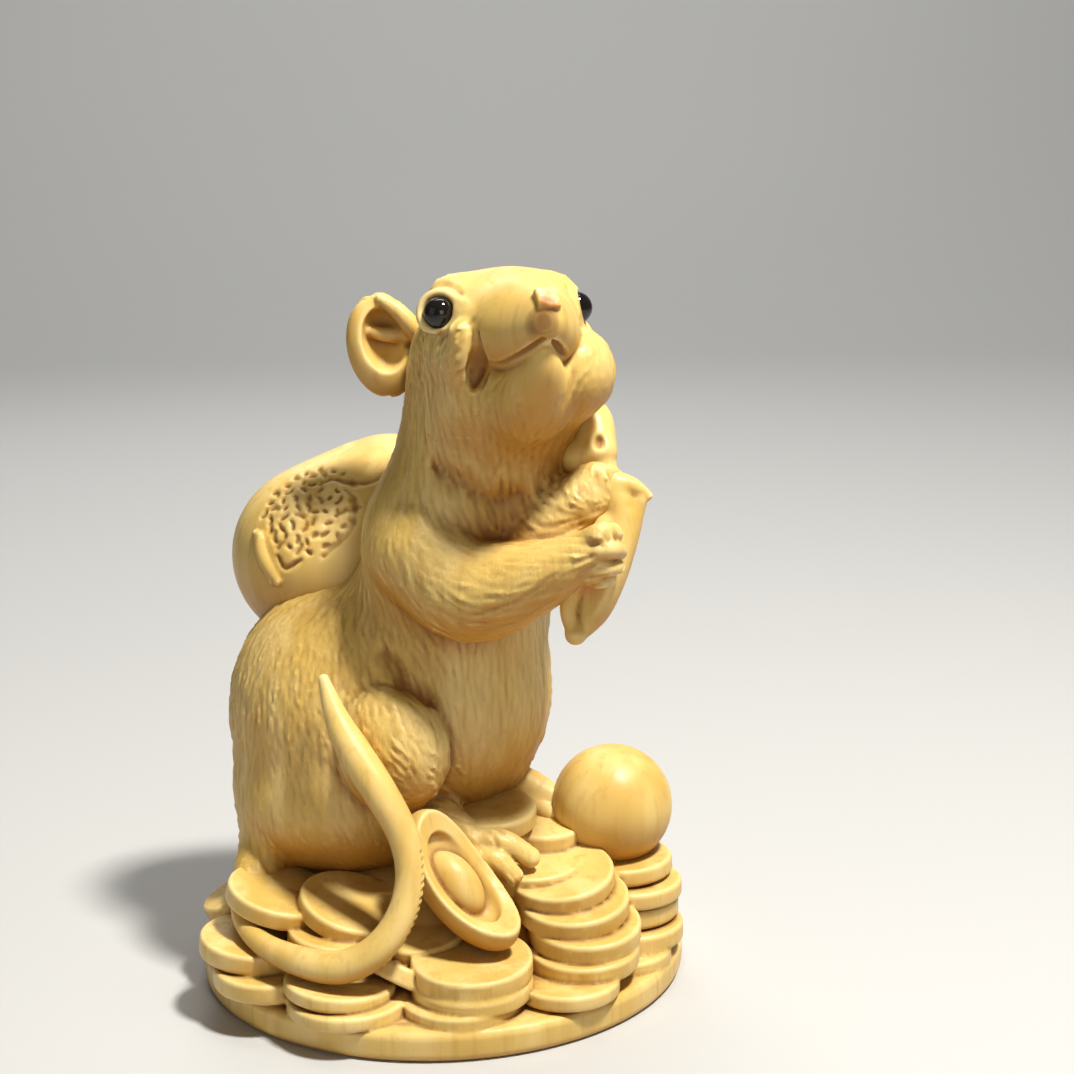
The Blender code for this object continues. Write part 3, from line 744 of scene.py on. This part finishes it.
def ingot(clay):
    """A boat-shaped ingot that lies on its side: pointed ends, and a dome inside its rim."""
    lying = frame_of((0.59, -0.31, -0.74), (0.52, -0.55, 0.65))
    up = lying[:, 2]
    boat = Clay((-8, -25, 3), (13, -6, 23.4), clay.voxel)
    boat.add(Ball(INGOT + up * 0.4, (7.9, 3.7, 4.4), lying), 0.1)
    boat.cut(Ball(INGOT + up * 12.6, 12.4), 0.3)
    boat.cut(Ball(INGOT + up * 0.8, (5.2, 2.5, 1.6), lying), 0.35)
    boat.add(Ball(INGOT - up * 0.6, (3.6, 2.05, 2.3), lying), 0.2)
    first = np.round((boat.low - clay.low) / clay.voxel).astype(int)
    cells = tuple(slice(a, a + b) for a, b in zip(first, boat.size))
    clay.depth[cells] = smooth_min(clay.depth[cells], boat.depth, 0.15)


def rear_coins():
    """Coins round the back of the heap, in leaning stacks."""
    for turned in REAR_STACKS:
        angle = math.radians(turned + DICE.uniform(-5, 5))
        outward = np.array((math.cos(angle), math.sin(angle)))
        for layer in range(3 if turned % 48 == 20 else 2):
            x, y = outward * (OUTER_RING - 0.9 * layer + DICE.uniform(-0.5, 0.5))
            yield (x, y, 4.0 + 2.1 * layer), 5.4, 2.0, turned + 180, 3 * layer
        x, y = outward * INNER_RING
        yield (x, y, 9.4 + DICE.uniform(-0.4, 0.8)), 5.2, 2.0, turned + 180, 20


def heap():
    clay = Clay((-26, -26, -1), (26, 26, 24), VOXEL)
    radius, thickness, rounding = BASE
    clay.add(Disc((0, 0, thickness / 2), radius, thickness, rounding), 0.1)
    clay.add(Ball((-1, 2, 2), (20.5, 20, 11.0)), 0.5)
    clay.cut(Block((0, 0, -10), (40, 40, 10), 0.1), 0.1)
    for middle, radius, thickness, heading, slope in (*COINS, *rear_coins()):
        clay.add(Disc(middle, radius, thickness, COIN_EDGE, turn(heading, slope)), 0.1)
    ingot(clay)
    return cast(clay, "coin_heap")


def ball():
    clay = Clay((11, -9, 10), (25, 5, 24), FINE_VOXEL)
    clay.add(Ball((17.7, -2.0, 17.2), 6.2), 0.1)
    return cast(clay, "ball")


def bead(name, place):
    """A round bead of rows of quads between two rings of triangles."""
    mesh = bpy.data.meshes.new(name)
    points, faces = [], []
    rows, columns = 24, 36
    for row in range(1, rows):
        for column in range(columns):
            a, b = math.pi * row / rows, 2 * math.pi * column / columns
            points.append((math.sin(a) * math.cos(b), math.sin(a) * math.sin(b), math.cos(a)))
    points += [(0, 0, 1), (0, 0, -1)]
    top, bottom = len(points) - 2, len(points) - 1
    for column in range(columns):
        following = (column + 1) % columns
        faces.append((top, column, following))
        last = (rows - 2) * columns
        faces.append((bottom, last + following, last + column))
        for row in range(rows - 2):
            upper = row * columns
            lower = upper + columns
            faces.append((upper + column, lower + column, lower + following, upper + following))
    placed = on_head(place) + EYE_RADIUS * np.array(points)
    mesh.from_pydata((placed * METRES).tolist(), [], faces)
    mesh.shade_smooth()
    return linked(name, mesh)


# Materials

class Nodes:
    def __init__(self, name):
        self.material = bpy.data.materials.new(name)
        self.material.use_nodes = True
        self.tree = self.material.node_tree
        self.shader = self.tree.nodes["Principled BSDF"]

    def add(self, kind, values=(), **settings):
        node = self.tree.nodes.new("ShaderNode" + kind)
        for key, value in settings.items():
            setattr(node, key, value)
        for key, value in dict(values).items():
            self.put(value, node.inputs[key])
        return node

    def shade(self, name, value):
        self.put(value, self.shader.inputs[name])

    def put(self, value, socket):
        if isinstance(value, bpy.types.NodeSocket):
            self.tree.links.new(value, socket)
        else:
            socket.default_value = value

    def noise(self, place, scale, detail=2.0, roughness=0.5):
        values = {"Vector": place, "Scale": scale, "Detail": detail, "Roughness": roughness}
        return self.add("TexNoise", values).outputs["Fac"]

    def stretched(self, place, scale):
        return self.add("Mapping", {"Vector": place, "Scale": scale}).outputs["Vector"]

    def between(self, value, low, high, to_low=0.0, to_high=1.0):
        values = {"Value": value, "From Min": low, "From Max": high, "To Min": to_low, "To Max": to_high}
        return self.add("MapRange", values, interpolation_type="SMOOTHSTEP").outputs["Result"]

    def math(self, operation, a, b):
        return self.add("Math", {0: a, 1: b}, operation=operation).outputs[0]

    def mix(self, amount, a, b, blend_type="MIX"):
        node = self.add("Mix", data_type="RGBA", blend_type=blend_type)
        self.put(amount, node.inputs["Factor"])
        self.put(a, node.inputs[6])
        self.put(b, node.inputs[7])
        return node.outputs[2]

    def attribute(self, name):
        return self.add("Attribute", attribute_name=name).outputs["Fac"]


# The wood, from its face and its grain to the shade painted into its hollows and under it, and the highlight
# painted on its edges

PALE = (0.75, 0.54, 0.17, 1)
HONEY = (0.63, 0.41, 0.10, 1)
CREAM = (0.82, 0.63, 0.27, 1)
GRAIN = (0.55, 0.33, 0.08, 1)
UNDERSIDE_SHADE = (0.42, 0.18, 0.015, 1)
VALLEY_SHADE = (0.36, 0.15, 0.012, 1)
HOLLOW_SHADE = (0.28, 0.10, 0.015, 1)
REDDER = (0.60, 0.24, 0.05, 1)
CREASE_SHADE = (0.20, 0.07, 0.012, 1)
EDGE_HIGHLIGHT = (0.90, 0.75, 0.38, 1)


def boxwood(name, furry):
    nodes = Nodes(name)
    place = nodes.add("TexCoord").outputs["Object"]
    along = nodes.stretched(place, (900, 900, 60))
    streaks = nodes.noise(along, 1.0, 3.0, 0.6)
    bands = nodes.noise(nodes.stretched(place, (260, 260, 14)), 1.0, 2.0)
    clouds = nodes.noise(place, 90.0, 3.0)
    specks = nodes.noise(place, 2600.0, 2.0)
    crease = nodes.attribute("crease")
    hollow = nodes.attribute("hollow")
    valley = nodes.attribute("valley")
    down = nodes.add("SeparateXYZ", {0: nodes.add("NewGeometry").outputs["Normal"]}).outputs["Z"]

    colour = nodes.mix(nodes.between(clouds, 0.35, 0.68), PALE, HONEY)
    colour = nodes.mix(nodes.between(bands, 0.42, 0.66, 0, 0.55), colour, CREAM)
    colour = nodes.mix(nodes.between(streaks, 0.5, 0.72, 0, 0.5), colour, GRAIN)
    # Painted shade: faces that point down are made darker and more orange
    colour = nodes.mix(nodes.between(down, 0.2, -0.65, 0, 0.88), colour, UNDERSIDE_SHADE)
    # Painted shade: broad valleys such as the neck and under the arms are darker
    colour = nodes.mix(nodes.between(valley, 0.03, 0.25, 0, 0.85), colour, VALLEY_SHADE)
    # Painted shade: hollows and the creases between parts are darker
    colour = nodes.mix(nodes.between(hollow, 0.10, 0.6, 0, 0.8), colour, HOLLOW_SHADE)
    colour = nodes.mix(nodes.math("MULTIPLY", nodes.attribute("blush"), 0.75), colour, REDDER)
    # Painted shade: fine grooves are darker
    colour = nodes.mix(nodes.between(crease, 0.02, 0.32, 0, 0.8), colour, CREASE_SHADE)
    # Painted highlight: sharp ridges and edges are lighter
    colour = nodes.mix(nodes.between(crease, -0.05, -0.35, 0, 0.6), colour, EDGE_HIGHLIGHT)
    nodes.shade("Base Color", colour)

    rough = nodes.between(streaks, 0.3, 0.7, 0.36, 0.5)
    rough = nodes.math("ADD", rough, nodes.between(crease, 0, 0.4, 0, 0.25))
    nodes.shade("Roughness", rough)

    relief = nodes.math("MULTIPLY", streaks, 0.35)
    if furry:
        bristles = nodes.noise(nodes.stretched(place, (2600, 2600, 620)), 1.0, 2.0, 0.65)
        bare = nodes.math("SUBTRACT", 1.0, nodes.attribute("polish"))
        bristles = nodes.math("MULTIPLY", bristles, nodes.math("MULTIPLY", bare, 1.1))
        relief = nodes.math("ADD", relief, bristles)
    relief = nodes.math("ADD", relief, nodes.math("MULTIPLY", specks, 0.2))
    bump = nodes.add("Bump", {"Height": relief, "Strength": 0.5, "Distance": 0.00012})
    nodes.shade("Normal", bump.outputs["Normal"])

    nodes.shade("Subsurface Weight", 0.12)
    nodes.shade("Subsurface Radius", (1.0, 0.45, 0.15))
    nodes.shade("Subsurface Scale", 0.0012)
    nodes.shade("Specular IOR Level", 0.4)
    return nodes.material


def eye_bead():
    nodes = Nodes("eye bead")
    place = nodes.add("TexCoord").outputs["Object"]
    clouds = nodes.noise(place, 900.0, 2.0)
    colour = nodes.mix(clouds, (0.004, 0.004, 0.005, 1), (0.016, 0.012, 0.010, 1))
    nodes.shade("Base Color", colour)
    nodes.shade("Roughness", nodes.between(clouds, 0.3, 0.7, 0.04, 0.09))
    return nodes.material


def pale_floor():
    nodes = Nodes("floor")
    place = nodes.add("TexCoord").outputs["Object"]
    clouds = nodes.noise(place, 3.0, 2.0)
    colour = nodes.mix(clouds, (0.50, 0.51, 0.52, 1), (0.54, 0.55, 0.56, 1))
    nodes.shade("Base Color", colour)
    nodes.shade("Roughness", 0.7)
    return nodes.material


# Stage, lights and camera

FLOOR_REACH = 2.2
BEND_START = 0.6
BEND_RADIUS = 0.5
BACKDROP_TOP = 2.4


def floor():
    """A floor that curves up into a backdrop."""
    profile = [(-FLOOR_REACH, 0)]
    for a in np.linspace(0, math.pi / 2, 25):
        profile.append((BEND_START + BEND_RADIUS * math.sin(a), BEND_RADIUS - BEND_RADIUS * math.cos(a)))
    profile.append((BEND_START + BEND_RADIUS, BACKDROP_TOP))
    points = [(x, y, z) for y, z in profile for x in (-FLOOR_REACH, FLOOR_REACH)]
    faces = [(2 * i, 2 * i + 1, 2 * i + 3, 2 * i + 2) for i in range(len(profile) - 1)]
    mesh = bpy.data.meshes.new("floor")
    mesh.from_pydata(points, [], faces)
    mesh.shade_smooth()
    piece = linked("floor", mesh)
    mesh.materials.append(pale_floor())


CARVING = (0, 0, 0.04)
BACKDROP = (0, 1.1, 0.4)
LIGHTS = (
    # Name, place, size, power, colour and what it points at
    ("key", (0.13, -0.10, 0.38), 0.05, 2.5, (1.0, 0.95, 0.86), CARVING),
    ("front", (0.12, -0.45, 0.14), 0.20, 0.26, (1.0, 0.93, 0.82), CARVING),
    ("fill", (-0.35, -0.25, 0.16), 0.30, 0.12, (1.0, 0.94, 0.86), CARVING),
    ("back", (-0.10, 0.35, 0.35), 0.25, 0.4, (1.0, 0.97, 0.92), CARVING),
    ("backdrop", (0, 0.30, 0.9), 0.5, 6.5, (1.0, 0.98, 0.95), BACKDROP),
)


def softbox(name, place, size, power, colour, aim):
    light = bpy.data.lights.new(name, "AREA")
    light.size = size
    light.energy = power
    light.color = colour
    lamp = linked(name, light)
    lamp.location = place
    lamp.rotation_euler = (Vector(aim) - Vector(place)).to_track_quat("-Z", "Y").to_euler()


def studio():
    for light in LIGHTS:
        softbox(*light)
    world = bpy.data.worlds.new("studio")
    bpy.context.scene.world = world
    world.use_nodes = True
    sky = world.node_tree.nodes["Background"]
    sky.inputs["Color"].default_value = (0.95, 0.86, 0.66, 1)
    sky.inputs["Strength"].default_value = 0.07
    bpy.context.scene.view_settings.view_transform = "Standard"


# The camera, in pixels, millimetres and degrees

IMAGE_SIZE = 1074
FOCAL_PIXELS = 1900
CAMERA_PLACE = (10.35, -189.1, 82.5)
CAMERA_DOWN = 11.22
CAMERA_ROLL = -0.81


def camera():
    lens = bpy.data.cameras.new("camera")
    lens.sensor_width = 36
    lens.lens = FOCAL_PIXELS / IMAGE_SIZE * lens.sensor_width
    lens.clip_start = 0.01
    eye = linked("camera", lens)
    tilted = Matrix.Rotation(math.radians(90 - CAMERA_DOWN), 4, "X")
    rolled = Matrix.Rotation(math.radians(CAMERA_ROLL), 4, "Z")
    eye.matrix_world = Matrix.Translation(Vector(CAMERA_PLACE) * METRES) @ tilted @ rolled
    bpy.context.scene.camera = eye


def main():
    plain, furred, beads = boxwood("boxwood", False), boxwood("furred boxwood", True), eye_bead()
    head, body = figure()
    carved = [(head, furred), (body, furred), (tail(), plain), (sack(), plain), (heap(), plain),
              (ball(), plain)]
    for piece, material in carved:
        piece.data.materials.append(material)
        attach(piece, "root")
        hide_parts("carving")
    for name, place, node in (("near_bead", NEAR_EYE, "eye_right"), ("far_bead", FAR_EYE, "eye_left")):
        piece = bead(name, place)
        piece.data.materials.append(beads)
        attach(piece, "root")
        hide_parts(node)
    floor()
    studio()
    camera()


main()
